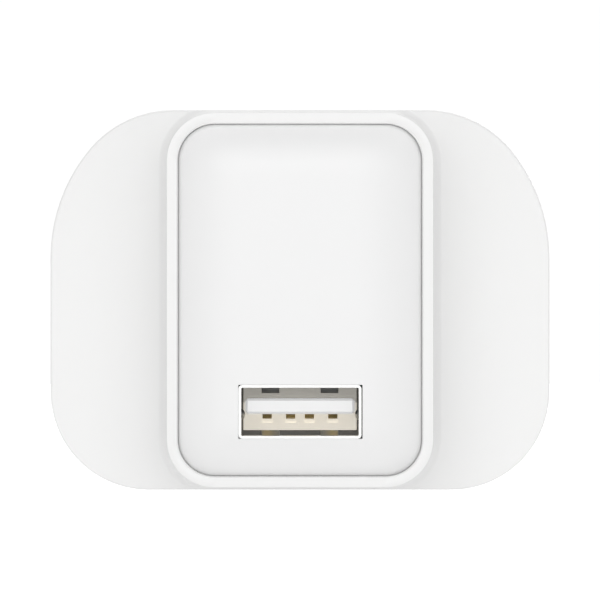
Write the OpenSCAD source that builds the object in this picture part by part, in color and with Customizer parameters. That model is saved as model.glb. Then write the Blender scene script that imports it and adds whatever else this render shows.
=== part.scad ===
// USB wall charger with three flat mains pins: a block on a wide base, one USB-A port low on its front.
// Origin: centre of the face that rests on the wall socket. +X right, +Y into the wall, +Z up.

/* [Body] */
// Width of the upright block
block_w = 28.4; // [28:0.1:36]
// Height of the upright block
block_h = 39.9; // [39.5:0.1:49]
// Corner radius of the block
block_r = 5.1; // [3.5:0.1:7]
// How far each wing reaches out beside the block
wing_w = 12.6; // [9.5:0.1:16]
// How far the base stands out above and below the block
ledge = 0.45; // [0.2:0.05:1]
// Thickness of the base, from the wall face to the front of the wings
base_d = 13; // [12:0.1:16]
// Depth of the whole body, from the wall face to the front rim
body_d = 34; // [33:0.1:42]
// Thickness of the housing walls
wall = 2; // [1.7:0.1:2.4]
// Fillet between the wings and the block
root_fillet = 1.1; // [0.8:0.1:2]
// Radius of the base's upper corners where they leave the top edge
top_r = 11.8; // [9:0.1:12]
// Radius of the base's upper corners where they reach the sides
top_side_r = 18.3; // [15:0.1:19]
// Angle at which the two upper corner arcs meet
top_arc_angle = 38.8; // [20:0.1:60]
// Radius of the base's lower corners
bottom_r = 10.5; // [8:0.1:12]

/* [Front panel] */
// Width of the rim left around the panel
rim = 1.1; // [0.8:0.1:1.5]
// Depth of the pocket that the panel drops into
pocket_d = 2; // [1.6:0.1:3]
// How far the panel's middle sits behind the rim
panel_sink = 0.25; // [0:0.05:0.5]
// Radius of the panel's rolled left and right edges
panel_side_roll = 26; // [16:1:40]
// Width of the panel's rolled left and right edges
panel_side_edge = 7.6; // [4:0.1:8]
// Radius of the panel's rolled top and bottom edges
panel_end_roll = 16; // [12:0.5:24]
// Width of the panel's rolled top and bottom edges
panel_end_edge = 5; // [3:0.1:6]
// Gap all round the panel
panel_gap = 0.12; // [0.05:0.01:0.3]

/* [Base plate] */
// Thickness of the plate that carries the pins
plate_t = 3; // [2.5:0.1:4]
// Height of the locating lip
lip_h = 2; // [1:0.1:2.5]
// Thickness of the locating lip
lip_t = 1; // [0.8:0.1:1.4]
// Width and depth of the shadow line where the plate meets the housing
shadow_line = 0.3; // [0.1:0.05:0.5]
// Clearance between pieces that slot together
fit = 0.08; // [0.05:0.01:0.15]

/* [Mains pins] */
// Distance between the live and neutral pins, and from their line up to the earth pin
pin_pitch = 22.23; // [22.1:0.01:22.4]
// Width of a live or neutral pin
pin_w = 6.35; // [6.22:0.01:6.48]
// Thickness of every pin
pin_t = 3.97; // [3.9:0.01:4.05]
// How far the live and neutral pins stand out of the wall face
pin_l = 17.7; // [17.2:0.1:18.2]
// Length of the insulating sleeve outside the wall face
sleeve_l = 9.5; // [9:0.1:10]
// Wall of the insulating sleeve
sleeve_t = 0.7; // [0.5:0.05:0.9]
// Height of the earth pin
earth_h = 7.92; // [7.8:0.01:8.05]
// How far the earth pin stands out of the wall face
earth_l = 22.73; // [22.2:0.01:23.2]
// Distance from the live and neutral pins down to the edge of the base
pin_edge = 9.5; // [9:0.1:12]
// Chamfer on the pins' tips
tip_chamfer = 1; // [0.5:0.1:1.5]

/* [USB port] */
// Distance from the middle of the block down to the middle of the port
usb_drop = 11.9; // [9:0.1:12.5]
// Width of the port's opening
usb_w = 12.5; // [12.4:0.05:12.6]
// Height of the port's opening
usb_h = 5.12; // [5:0.01:5.2]
// Length of the metal shell
usb_l = 14; // [13.5:0.1:15]
// Thickness of the shell's sheet metal
sheet = 0.3; // [0.2:0.05:0.35]
// How far the shell stands out of the panel
shell_proud = 0.05; // [0:0.01:0.2]
// Width of the tongue
tongue_w = 11.3; // [11:0.05:11.5]
// Thickness of the tongue
tongue_t = 1.8; // [1.7:0.05:1.9]
// Gap between the tongue and the top of the opening
tongue_gap = 1.04; // [0.9:0.01:1.1]
// How far the tongue's tip sits behind the mouth
tongue_sink = 0.9; // [0.4:0.1:1.5]
// Depth of the port behind the mouth
port_depth = 11.9; // [11.8:0.1:12.2]
// Width of a contact spring
contact_w = 1; // [0.8:0.05:1.1]
// Thickness of the contact strip
contact_t = 0.25; // [0.15:0.05:0.3]
// How far a contact spring stands out below the tongue
contact_proud = 0.47; // [0.3:0.01:0.6]
// How far a grip spring stands into the opening
grip_proud = 0.6; // [0.4:0.05:0.7]
// Width of a grip spring
grip_w = 1.9; // [1.5:0.1:2.2]

/* [Electronics] */
// Thickness of the main circuit board
board_t = 1.6; // [1.2:0.1:2]
// Thickness of the USB circuit board
usb_board_t = 1.2; // [0.8:0.1:1.3]
// Diameter of the mains smoothing capacitors
bulk_cap_d = 8.2; // [7:0.1:8.4]
// Height of the mains smoothing capacitors
bulk_cap_h = 16; // [12:0.5:17.5]
// Diameter of the output capacitors
out_cap_d = 6.3; // [5:0.1:6.4]
// Height of the output capacitors
out_cap_h = 7.7; // [5:0.1:7.8]
// Width of the transformer core
core_w = 13; // [12:0.1:13.6]
// Length of the transformer core, both halves together
core_l = 12.8; // [12:0.1:15]
// Thickness of the transformer core
core_t = 6; // [5:0.1:7]

/* [Hidden] */
$fn = 96;
bite = 0.02;  // overlap that keeps a cut or a union clean

// Housing, worked out from the driving sizes
base_w = block_w + 2 * wing_w;
base_h = block_h + 2 * ledge;
shoulder_y = -(base_d - wall);        // inside of the wings: the main board rests here
pocket_y = -(body_d - pocket_d);      // floor of the panel's pocket
panel_y = -(body_d - panel_sink);     // front of the panel's middle
cavity_w = block_w - 2 * wall;
cavity_h = block_h - 2 * wall;

// Pins
pin_z = -base_h / 2 + pin_edge + pin_t / 2;
earth_z = pin_z + pin_pitch;
pin_core_w = pin_w - 2 * sleeve_t;
pin_core_t = pin_t - 2 * sleeve_t;
head_t = 2;                           // thickness of the pins' heads
head_margin = 1;                      // how far the heads reach past the pins
head_y = -plate_t - head_t;
retainer_t = 1.5;
retainer_h = pin_t + 4;               // how tall the clamp plate is round the two lower pins
retainer_y = head_y - retainer_t;
stake_r = 1;
stake_spots = [for (s = [-1, 1]) each [[s * 4.6, pin_z], [s * 5.4, earth_z - 3]]];

// Main board and the posts that press on it
board_y = shoulder_y + board_t;       // rear face of the main board
board_w = cavity_w + 9.6;
board_h = base_h - 2 * wall - 4;
post_r = 1.5;
post_low = pin_z - retainer_h / 2 - post_r - 0.4;      // the lower posts stand clear of the clamp plate
post_spots = [for (sx = [-1, 1], z = [post_low, board_h / 2 - 4.4]) [sx * (board_w / 2 - 2.2), z]];

// USB port, in its own frame: origin at the middle of the mouth, +Y into the port
mouth_y = panel_y - shell_proud;
usb_z = -usb_drop;
shell_w = usb_w + 2 * sheet;
shell_h = usb_h + 2 * sheet;
shell_r = 0.7;
tongue_top = usb_h / 2 - tongue_gap;
tongue_bottom = tongue_top - tongue_t;
groove_h = 0.95;                      // depth of the slots in the tongue for the contact springs
groove_lip = 0.5;                     // plastic left in front of the slots
heel_gap = 0.55;                      // gap between the insulator's back wall and the shell's floor
side_gap = 0.2;                       // gap between the back wall and the shell's sides
flange_t = 0.6;                       // rear flange that fills the shell and holds the insulator
strip_z = tongue_bottom + 0.35;       // underside of the contact strip at its root
root_y = port_depth - 0.5;            // hinge line of the contact springs
contact_spots = [3.5, 1, -1, -3.5];   // vbus, data -, data +, ground, seen from the front
contact_gap = 0.04;
tail_y = usb_l - 0.3;                 // the solder tails stand inside the insulator's rear flange
tail_reach = 2.2;                     // how far tails and legs pass below the shell
grip_x = 3.15;
grip_root_y = 2.4;
grip_l = 4.5;
grip_t = 0.2;
grip_window_gap = 0.3;
leg_spots = [3.4, 10.6];              // how far behind the mouth the shell's legs stand
leg_w = 1.4;
usb_board_top = usb_z - shell_h / 2;
usb_board_y0 = mouth_y + 2.2;
tab_w = 3;
tab_x = 6;

// Places on the boards. Main board places are [x, z], USB board places are [x, y].
standoff = 0.3;                       // air under a part that stands on its leads
crown = 0.1;                          // shrunk sleeve on top of a capacitor's can
edge_gap = 0.3;
bulk_x = -(cavity_w / 2 - edge_gap - bulk_cap_d / 2);
bulk_z = [for (i = [0, 1]) cavity_h / 2 - edge_gap - bulk_cap_d / 2 - i * (bulk_cap_d + 0.4)];
out_cap_x = out_cap_d / 2 + 0.25;
out_cap_y = shoulder_y - 1.05 - out_cap_d / 2;
diode_w = 3.6;
diode_spot = [out_cap_x + out_cap_d / 2 + 0.25 + diode_w / 2, out_cap_y - 0.6];
usb_board_w = 2 * (diode_spot[0] + diode_w / 2 + 0.4);
sheet_z = usb_board_top + standoff + out_cap_h + crown;  // insulation sheet on the output capacitors
sheet_t = 0.25;
choke_r = 2.4;
choke_h = 8;
choke_spot = [-(cavity_w / 2 - edge_gap - choke_r - 0.2), usb_board_top + choke_r + 0.4];
bobbin_h = 11.6;                      // size of the bobbin's cheeks up and down
transformer_air = 1.75;               // creepage distance between sheet and bobbin
transformer_spot = [cavity_w / 2 - core_w / 2 - 1, sheet_z + sheet_t + transformer_air + bobbin_h / 2];
fuse_r = 1.7;
fuse_l = 7.4;
fuse_lift = 2.6;
fuse_pitch = 10;
fuse_spot = [cavity_w / 2 - fuse_pitch / 2 - 1.7, transformer_spot[1] + bobbin_h / 2 + fuse_r + 0.7];
safety_r = 3.8;
safety_t = 3.2;
safety_spot = [cavity_w / 2 - safety_r - 2.4, cavity_h / 2 - safety_t / 2 - 0.6];
safety_pitch = 5;
bulk_pitch = 3.5;
out_pitch = 2.5;
lead_r = 0.3;
lead_hole_r = 0.45;
lead_poke = 0.9;                      // how far leads pass through a board
transformer_pin_pitch = 3;
transformer_pin_spots = [for (i = [-1.5 : 1 : 1.5], s = [-1, 1])
    [transformer_spot[0] + i * transformer_pin_pitch, transformer_spot[1] + s * (bobbin_h / 2 - 1)]];
bulk_lead_spots = [for (z = bulk_z, s = [-1, 1]) [bulk_x + s * bulk_pitch / 2, z]];
choke_lead_spots = [for (s = [-1, 1]) [choke_spot[0] + s * 1.4, choke_spot[1]]];
fuse_lead_spots = [for (s = [-1, 1]) [fuse_spot[0] + s * fuse_pitch / 2, fuse_spot[1]]];
safety_lead_spots = [for (s = [-1, 1]) [safety_spot[0] + s * safety_pitch / 2, safety_spot[1]]];
main_lead_spots = concat(bulk_lead_spots, choke_lead_spots, fuse_lead_spots, safety_lead_spots,
                         transformer_pin_spots);
out_lead_spots = [for (sx = [-1, 1], s = [-1, 1]) [sx * out_cap_x + s * out_pitch / 2, out_cap_y]];

// ---- Drawing helpers ----

// Extrudes a shape drawn in X and Z from y0 to y1.
module slab(y0, y1) {
    translate([0, y1, 0]) rotate([90, 0, 0]) linear_extrude(height = y1 - y0) children();
}

// Extrudes a shape drawn in Y and Z across X, w wide and centred on x = 0.
module across(w) {
    translate([-w / 2, 0, 0]) rotate([90, 0, 90]) linear_extrude(height = w) children();
}

// Extrudes a shape drawn in X and Y upwards from z0 to z1.
module upright(z0, z1) {
    translate([0, 0, z0]) linear_extrude(height = z1 - z0) children();
}

module rounded_rect(w, h, r) {
    square([w - 2 * r, h], center = true);
    square([w, h - 2 * r], center = true);
    for (sx = [-1, 1], sz = [-1, 1])
        translate([sx * (w / 2 - r), sz * (h / 2 - r)]) circle(r);
}

// Stands a piece on the front of the main board: its own +Z leads away from the board.
module on_main_board(spot) {
    translate([spot[0], shoulder_y, spot[1]]) rotate([90, 0, 0]) children();
}

// Stands a piece on the back of the main board.
module behind_main_board(spot) {
    translate([spot[0], board_y, spot[1]]) rotate([-90, 0, 0]) children();
}

module on_usb_board(spot) {
    translate([spot[0], spot[1], usb_board_top]) children();
}

module in_port() {
    translate([0, mouth_y, usb_z]) children();
}

// ---- Housing ----

module block_outline(inset) {
    rounded_rect(block_w - 2 * inset, block_h - 2 * inset, block_r - inset);
}

// The base seen from the front: each upper corner is two arcs, each lower corner one.
module base_outline(inset) {
    w = base_w / 2 - inset;
    h = base_h / 2 - inset;
    r_top = top_r - inset;
    r_side = top_side_r - inset;
    r_low = bottom_r - inset;
    side_c = [w - r_side, h - r_top - (r_side - r_top) * sin(top_arc_angle)];
    top_c = [side_c[0] + (r_side - r_top) * cos(top_arc_angle), h - r_top];
    meet = side_c + r_side * [cos(top_arc_angle), sin(top_arc_angle)];
    far = 2 * r_side;
    for (s = [0, 1]) mirror([s, 0]) {
        polygon([[0, h], [top_c[0], h], meet, [w, side_c[1]], [w, -h + r_low], [w - r_low, -h], [0, -h]]);
        translate(top_c) circle(r_top);
        intersection() {
            translate(side_c) circle(r_side);
            polygon([side_c, side_c + [far, 0], side_c + far * [cos(top_arc_angle), sin(top_arc_angle)]]);
        }
        translate([w - r_low, -h + r_low]) circle(r_low);
    }
}

// Section of the hollow fillet between wing and block: x runs out from the block, y up from the wing.
module fillet_section(x0) {
    translate([x0, 0]) difference() {
        translate([-1, -1]) square([root_fillet + 1, root_fillet + 1]);
        translate([root_fillet, root_fillet]) circle(root_fillet);
        translate([root_fillet - bite, -1 - bite]) square([1, root_fillet + 2]);
        translate([-1 - bite, root_fillet - bite]) square([root_fillet + 2, 1]);
    }
}

module wing_fillets() {
    straight = block_h - 2 * block_r;
    intersection() {
        for (s = [0, 1]) mirror([s, 0, 0]) {
            translate([block_w / 2, -base_d, -straight / 2])
                linear_extrude(height = straight) mirror([0, 1]) fillet_section(0);
            for (e = [0, 1]) mirror([0, 0, e])
                translate([block_w / 2 - block_r, -base_d, straight / 2])
                    rotate([90, 0, 0]) rotate_extrude(angle = 90) fillet_section(block_r);
        }
        slab(-base_d - root_fillet - 1, -base_d + 2) base_outline(0);
    }
}

module front_housing() color("whitesmoke") difference() {
    union() {
        slab(-base_d, -plate_t) base_outline(0);
        slab(-body_d, -base_d + bite) block_outline(0);
        wing_fillets();
    }
    slab(shoulder_y, -plate_t + bite) base_outline(wall);
    slab(pocket_y - bite, shoulder_y + bite) block_outline(wall);
    slab(-body_d - bite, pocket_y) block_outline(rim);
}

// A flat block whose front edges roll back along one pair of sides.
module rolled_section(half, edge, roll, back) {
    mid = half - edge;
    translate([-mid, back]) square([2 * mid, -panel_y - back]);
    for (s = [0, 1]) mirror([s, 0]) intersection() {
        translate([mid - bite, -panel_y - roll]) circle(roll);
        translate([mid - 2 * bite, back]) square([edge + 2 * bite, -panel_y - back]);
    }
}

module front_panel() color("white") difference() {
    union() {
        intersection() {
            slab(-body_d, pocket_y) block_outline(rim + panel_gap);
            upright(-block_h / 2, block_h / 2) mirror([0, 1])
                rolled_section(block_w / 2 - rim, panel_side_edge, panel_side_roll, -pocket_y);
            across(block_w) rotate([0, 0, 90])
                rolled_section(block_h / 2 - rim, panel_end_edge, panel_end_roll, -pocket_y);
        }
        panel_hooks();
    }
    in_port() slab(-2 * pocket_d, 2 * pocket_d)
        square([shell_w + 2 * fit, shell_h + 2 * fit], center = true);
}

// Four tongues behind the panel that grip the inside of the block.
module panel_hooks() {
    hook_t = 1;
    hook_h = 4;
    hook_l = 3;
    for (sx = [-1, 1], sz = [-1, 1])
        translate([sx * (cavity_w / 2 - fit - hook_t / 2), pocket_y + hook_l / 2 - bite,
                   sz * (cavity_h / 2 - block_r - hook_h / 2)])
            cube([hook_t, hook_l + 2 * bite, hook_h], center = true);
}

// ---- Base plate, pins and what holds them ----

module pin_openings(gap) {
    for (s = [-1, 1]) translate([s * pin_pitch / 2, pin_z])
        square([pin_w + 2 * gap, pin_t + 2 * gap], center = true);
    translate([0, earth_z]) square([pin_t + 2 * gap, earth_h + 2 * gap], center = true);
}

module base_plate() color("whitesmoke") {
    lip_inset = wall + fit;
    difference() {
        union() {
            slab(-plate_t + shadow_line, 0) base_outline(0);
            slab(-plate_t, -plate_t + shadow_line + bite) base_outline(shadow_line);
            slab(-plate_t - lip_h, -plate_t + bite) difference() {
                base_outline(lip_inset);
                base_outline(lip_inset + lip_t);
                translate([0, base_h / 2]) square([earth_h + 4, base_h / 2], center = true);
            }
            for (p = post_spots) translate([p[0], 0, p[1]]) {
                slab(board_y, -plate_t + bite) circle(post_r);
            }
            for (p = stake_spots) translate([p[0], 0, p[1]]) {
                slab(retainer_y - bite, -plate_t + bite) circle(stake_r);
                slab(retainer_y - 0.6, retainer_y) circle(stake_r + 0.6);
            }
        }
        slab(-plate_t - bite, bite) pin_openings(fit);
    }
}

module pin_retainer() color("gainsboro") {
    slab(retainer_y, head_y) difference() {
        union() {
            translate([0, pin_z]) square([pin_pitch + pin_w + 1, retainer_h], center = true);
            translate([0, (pin_z + earth_z) / 2]) square([15, pin_pitch], center = true);
        }
        for (s = [-1, 1]) translate([s * (pin_pitch / 2), pin_z])
            square([pin_w - 1, pin_t - 0.4], center = true);
        for (p = stake_spots) translate(p) circle(stake_r + fit);
    }
}

// A bar with a chamfered tip: wide across X, tall in Z, from y0 out to y1.
module tipped_bar(wide, tall, y0, y1) {
    module section(size) {
        polygon([[-size / 2, y0], [size / 2, y0], [size / 2, y1 - tip_chamfer],
                 [size / 2 - tip_chamfer / 2, y1], [-size / 2 + tip_chamfer / 2, y1],
                 [-size / 2, y1 - tip_chamfer]]);
    }
    intersection() {
        upright(-tall / 2, tall / 2) section(wide);
        across(wide) rotate([0, 0, 90]) mirror([0, 1]) section(tall);
    }
}

module mains_pin(side) {
    translate([side * pin_pitch / 2, 0, pin_z]) {
        tipped_bar(pin_w, pin_t, sleeve_l, pin_l);
        slab(head_y, sleeve_l + bite) square([pin_core_w, pin_core_t], center = true);
        slab(head_y, -plate_t) square([pin_w + head_margin, pin_t + 2 * head_margin], center = true);
    }
}

module pin_sleeve(side) {
    translate([side * pin_pitch / 2, 0, pin_z]) slab(-plate_t, sleeve_l) difference() {
        square([pin_w, pin_t], center = true);
        square([pin_core_w, pin_core_t], center = true);
    }
}

module live_pin() color("silver") mains_pin(1);
module neutral_pin() color("silver") mains_pin(-1);
module live_pin_sleeve() color("black") pin_sleeve(1);
module neutral_pin_sleeve() color("black") pin_sleeve(-1);

module earth_pin() color("white") translate([0, 0, earth_z]) difference() {
    union() {
        tipped_bar(pin_t, earth_h, head_y, earth_l);
        slab(head_y, -plate_t) square([pin_t + 2 * head_margin, earth_h + head_margin], center = true);
    }
    slab(head_y - bite, earth_l - 5) square([pin_t - 2.4, earth_h - 3], center = true);
}

// A springy strip from a pin's head to a pad on the back of the main board.
module contact_strip(side) {
    t = 0.4;
    reach = pin_pitch / 2;
    rise = 4.2;                       // how far outwards the strip leans on its way to the head
    heel = reach - 0.6 - rise;
    toe = heel - 3.2;
    low = board_y;
    high = head_y;
    translate([0, 0, pin_z]) mirror([side > 0 ? 0 : 1, 0, 0]) upright(-1.5, 1.5)
        polygon([[toe, low], [heel, low], [heel + rise, high - t], [reach + 2, high - t],
                 [reach + 2, high], [heel + rise - t / 3, high], [heel - t / 3, low + t],
                 [toe, low + t]]);
}

module live_contact_strip() color("darkgoldenrod") contact_strip(1);
module neutral_contact_strip() color("darkgoldenrod") contact_strip(-1);

// ---- Circuit boards ----

module main_board() color("darkgreen") slab(shoulder_y, board_y) difference() {
    rounded_rect(board_w, board_h, 2);
    for (p = main_lead_spots) translate(p) circle(lead_hole_r);
    for (s = [-1, 1]) translate([s * tab_x, usb_board_top - usb_board_t / 2])
        square([tab_w + 2 * fit, usb_board_t + 2 * fit], center = true);
}

module usb_board() color("darkgreen") upright(usb_board_top - usb_board_t, usb_board_top) difference() {
    union() {
        translate([-usb_board_w / 2, usb_board_y0]) square([usb_board_w, shoulder_y - usb_board_y0]);
        for (s = [-1, 1]) translate([s * tab_x - tab_w / 2, shoulder_y - bite])
            square([tab_w, board_t + 0.4]);
    }
    for (p = out_lead_spots) translate(p) circle(lead_hole_r);
    for (x = contact_spots) translate([x, mouth_y + tail_y]) circle(lead_hole_r);
    for (s = [-1, 1], y = leg_spots)
        translate([s * (shell_w / 2 - sheet / 2), mouth_y + y])
            square([sheet + 0.4, leg_w + 0.4], center = true);
}

module insulation_sheet() color("khaki") {
    w = cavity_w - 2 * edge_gap;
    upright(sheet_z, sheet_z + sheet_t) translate([-w / 2, pocket_y + edge_gap])
        square([w, shoulder_y - pocket_y - edge_gap]);
}

// ---- USB receptacle ----

module grip_windows(gap) {
    for (sx = [-1, 1], sz = [-1, 1])
        translate([sx * grip_x, grip_root_y + grip_l / 2 + grip_window_gap / 2, sz * usb_h / 2])
            cube([grip_w + 2 * gap, grip_l + grip_window_gap, 3 * sheet], center = true);
}

module usb_shell() color("silver") in_port() {
    difference() {
        slab(0, usb_l) difference() {
            rounded_rect(shell_w, shell_h, shell_r);
            rounded_rect(usb_w, usb_h, shell_r - sheet);
        }
        grip_windows(grip_window_gap);
        // the floor is cut away where the contacts' tails come down
        translate([0, usb_l - 0.4, -shell_h / 2])
            cube([2 * contact_spots[0] + contact_w + 0.6, 0.8 + bite, 2 * shell_r], center = true);
    }
    for (s = [0, 1]) mirror([s, 0, 0]) {
        // the dimple that steadies the plug from the side
        intersection() {
            translate([usb_w / 2 + 2.15, 5.2, -0.3]) cylinder(r = 2.5, h = 1.2, center = true);
            translate([usb_w / 2 - 0.4, 2.7, -1]) cube([0.4 + sheet / 2, 5, 2]);
        }
        for (y = leg_spots)
            translate([shell_w / 2 - sheet, y - leg_w / 2, -shell_h / 2 - tail_reach])
                cube([sheet, leg_w, tail_reach + shell_r + bite]);
    }
}

// A contact strip's path, drawn in Y and Z: forward along the slot, down to the bump, up to the tip.
function spring_line() =
    let (bump_y = tongue_sink + groove_lip + 2.4,
         bump_z = tongue_bottom - contact_proud + contact_t / 2,
         flat_z = strip_z + contact_t / 2)
    [[root_y - contact_gap, flat_z], [bump_y + 3.2, flat_z - 0.08], [bump_y + 0.9, bump_z + 0.1],
     [bump_y + 0.35, bump_z], [bump_y - 0.35, bump_z], [bump_y - 0.9, bump_z + 0.12],
     [tongue_sink + groove_lip + 0.25, tongue_bottom + 0.3]];

// Thickens an open line into a strip of even thickness.
function unit(v) = v / norm(v);
function left_of(v) = [-v[1], v[0]];
function line_normal(p, i) =
    let (a = i > 0 ? unit(p[i] - p[i - 1]) : unit(p[1] - p[0]),
         b = i < len(p) - 1 ? unit(p[i + 1] - p[i]) : a,
         n = unit(left_of(a) + left_of(b)))
    n / (n * left_of(a));
function ribbon(p, t) = concat(
    [for (i = [0 : len(p) - 1]) p[i] + line_normal(p, i) * t / 2],
    [for (i = [len(p) - 1 : -1 : 0]) p[i] - line_normal(p, i) * t / 2]);

module contact_spring(x) {
    color("goldenrod") in_port() translate([x, 0, 0]) across(contact_w)
        polygon(ribbon(spring_line(), contact_t));
}

module vbus_contact() contact_spring(contact_spots[0]);
module data_minus_contact() contact_spring(contact_spots[1]);
module data_plus_contact() contact_spring(contact_spots[2]);
module ground_contact() contact_spring(contact_spots[3]);

// The part of each strip that the insulator holds, and its solder tail.
module tail_bodies(gap) {
    for (x = contact_spots) translate([x, 0, 0]) {
        across(contact_w - 0.3 + 2 * gap) translate([root_y, strip_z - gap])
            square([tail_y + contact_t / 2 - root_y + gap, contact_t + 2 * gap]);
        across(contact_w - 0.3 + 2 * gap)
            translate([tail_y - contact_t / 2 - gap, -shell_h / 2 - tail_reach])
                square([contact_t + 2 * gap, strip_z + shell_h / 2 + tail_reach + contact_t]);
    }
}

module contact_tails() color("goldenrod") in_port() tail_bodies(0);

module usb_insulator() color("white") in_port() difference() {
    union() {
        translate([0, 0, heel_gap / 2]) slab(port_depth, usb_l)
            square([usb_w - 2 * side_gap - shell_r, usb_h - heel_gap], center = true);
        translate([0, 0, (heel_gap - shell_r) / 2]) slab(port_depth, usb_l)
            square([usb_w - 2 * side_gap, usb_h - heel_gap - shell_r], center = true);
        slab(usb_l - flange_t, usb_l) rounded_rect(usb_w, usb_h, shell_r - sheet);
        intersection() {
            upright(tongue_bottom, tongue_top) polygon(tongue_section(tongue_w / 2));
            across(tongue_w) translate([0, (tongue_top + tongue_bottom) / 2])
                rotate([0, 0, 90]) mirror([0, 1]) polygon(tongue_section(tongue_t / 2));
        }
    }
    for (x = contact_spots)
        translate([x - contact_w / 2 - 0.08, tongue_sink + groove_lip, tongue_bottom - 1])
            cube([contact_w + 0.16, port_depth - tongue_sink - groove_lip + 0.2, groove_h + 1]);
    tail_bodies(0.01);
}

// Half-width half: a tongue with a small chamfer round its tip.
function tongue_section(half) =
    let (c = 0.2)
    [[-half, usb_l - 1], [-half, tongue_sink + c], [-half + c, tongue_sink],
     [half - c, tongue_sink], [half, tongue_sink + c], [half, usb_l - 1]];

// A grip spring's path, drawn in Y and Z for the top of the shell.
function grip_line() =
    let (top = usb_h / 2 + sheet / 2,
         low = usb_h / 2 - grip_proud + grip_t / 2)
    [[grip_root_y + contact_gap, top], [grip_root_y + 0.3, top], [grip_root_y + 2.9, low + 0.06],
     [grip_root_y + 3.3, low], [grip_root_y + 3.7, low + 0.04], [grip_root_y + grip_l, low + 0.2]];

module grip_spring(sx, sz) {
    color("silver") in_port() mirror([0, 0, sz > 0 ? 0 : 1]) translate([sx * grip_x, 0, 0])
        across(grip_w) polygon(ribbon(grip_line(), grip_t));
}

module top_left_grip_spring() grip_spring(-1, 1);
module top_right_grip_spring() grip_spring(1, 1);
module bottom_left_grip_spring() grip_spring(-1, -1);
module bottom_right_grip_spring() grip_spring(1, -1);

// ---- Transformer: winding axis along Y, cores closing on it from front and rear ----

core_leg = 2.6;
core_mid = 3.4;
core_back = 2.6;
bobbin_wall = 0.6;
cheek_t = 0.9;
rail_t = 2;                           // thick rear cheek that carries the pins
core_rear_lift = rail_t + standoff;   // air under the rear core, for the pin rail

module transformer_place() {
    on_main_board(transformer_spot) translate([0, 0, core_rear_lift - core_back + 0.8]) children();
}

// One E-shaped half, open upwards, its back on z = 0.
module core_half() {
    half = core_l / 2;
    rotate([90, 0, 0]) translate([0, 0, -core_t / 2]) linear_extrude(height = core_t) {
        translate([-core_w / 2, 0]) square([core_w, core_back]);
        for (s = [-1, 1]) translate([s * (core_w - core_leg) / 2 - core_leg / 2, 0])
            square([core_leg, half]);
        translate([-core_mid / 2, 0]) square([core_mid, half]);
    }
}

module transformer_core_rear() color("dimgray") transformer_place() core_half();
module transformer_core_front() color("dimgray") transformer_place()
    translate([0, 0, core_l]) mirror([0, 0, 1]) core_half();

tube_w = core_mid + 2 * bobbin_wall + 2 * fit;
tube_t = core_t + 2 * bobbin_wall + 2 * fit;

module transformer_bobbin() color("black") transformer_place() difference() {
    cheek_w = core_w - 2 * core_leg - 2 * fit;
    union() {
        upright(core_back, core_l - core_back) square([tube_w, tube_t], center = true);
        upright(core_back, core_back + cheek_t) square([cheek_w, bobbin_h], center = true);
        upright(core_l - core_back - cheek_t, core_l - core_back)
            square([cheek_w, bobbin_h], center = true);
        // the two pin rails stand either side of the core's back
        for (s = [-1, 1]) translate([0, s * (core_t / 2 + 0.2 + (bobbin_h - core_t - 0.4) / 4), 0])
            upright(core_back - rail_t - 0.2, core_back + cheek_t)
                square([core_w - 1, (bobbin_h - core_t - 0.4) / 2], center = true);
    }
    upright(-1, core_l + 1) square([core_mid + 2 * fit, core_t + 2 * fit], center = true);
}

module wound(thick, gap) {
    z0 = core_back + cheek_t + gap;
    z1 = core_l - core_back - cheek_t - gap;
    upright(z0, z1) difference() {
        rounded_rect(tube_w + 2 * thick, tube_t + 2 * thick, 0.8);
        square([tube_w, tube_t], center = true);
    }
}

tape_t = 0.2;
wound_t = (core_w - 2 * core_leg - tube_w) / 2 - fit - tape_t;

module transformer_winding() color("chocolate") transformer_place() wound(wound_t, fit);

module transformer_tape() color("gold") transformer_place() {
    z0 = core_back + cheek_t + fit;
    z1 = core_l - core_back - cheek_t - fit;
    upright(z0, z1) difference() {
        rounded_rect(tube_w + 2 * (wound_t + tape_t), tube_t + 2 * (wound_t + tape_t), 0.8 + tape_t);
        rounded_rect(tube_w + 2 * wound_t, tube_t + 2 * wound_t, 0.8);
    }
}

module transformer_pins() color("lightgray") {
    for (p = transformer_pin_spots) on_main_board(p)
        upright(-board_t - lead_poke, core_rear_lift - rail_t + 0.6) circle(lead_r);
}

// ---- Capacitors ----

// Seen from its own foot: the can, crimped near the rubber bung.
module capacitor_can(d, h) {
    r = d / 2 - 0.15;
    bung_r = r - 0.35;
    rotate_extrude() polygon([[0, 1.6], [bung_r, 1.6], [bung_r, 0], [r, 0], [r, 1.1], [r - 0.25, 1.4],
                              [r - 0.25, 1.9], [r, 2.2], [r, h - 0.4], [r - 0.4, h], [0, h]]);
}

module capacitor_sleeve(d, h) {
    r = d / 2;
    rotate_extrude() polygon([[r - 0.15, 0], [r, 0], [r, h - 0.4], [r - 0.4, h + crown], [r - 1.2, h + crown],
                              [r - 1.2, h], [r - 0.55, h], [r - 0.15, h - 0.4]]);
}

module capacitor_bung(d) {
    upright(0.1, 1.6) circle(d / 2 - 0.5);
}

module bulk_capacitor_place(i) {
    on_main_board([bulk_x, bulk_z[i]]) translate([0, 0, standoff]) children();
}

module output_capacitor_place(side) {
    on_usb_board([side * out_cap_x, out_cap_y]) translate([0, 0, standoff]) children();
}

module bulk_can(i) {
    color("silver") bulk_capacitor_place(i) capacitor_can(bulk_cap_d, bulk_cap_h);
}

module bulk_sleeve(i) {
    color("midnightblue") bulk_capacitor_place(i) capacitor_sleeve(bulk_cap_d, bulk_cap_h);
}

module output_can(side) {
    color("silver") output_capacitor_place(side) capacitor_can(out_cap_d, out_cap_h);
}

module output_sleeve(side) {
    color("darkgreen") output_capacitor_place(side) capacitor_sleeve(out_cap_d, out_cap_h);
}

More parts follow.
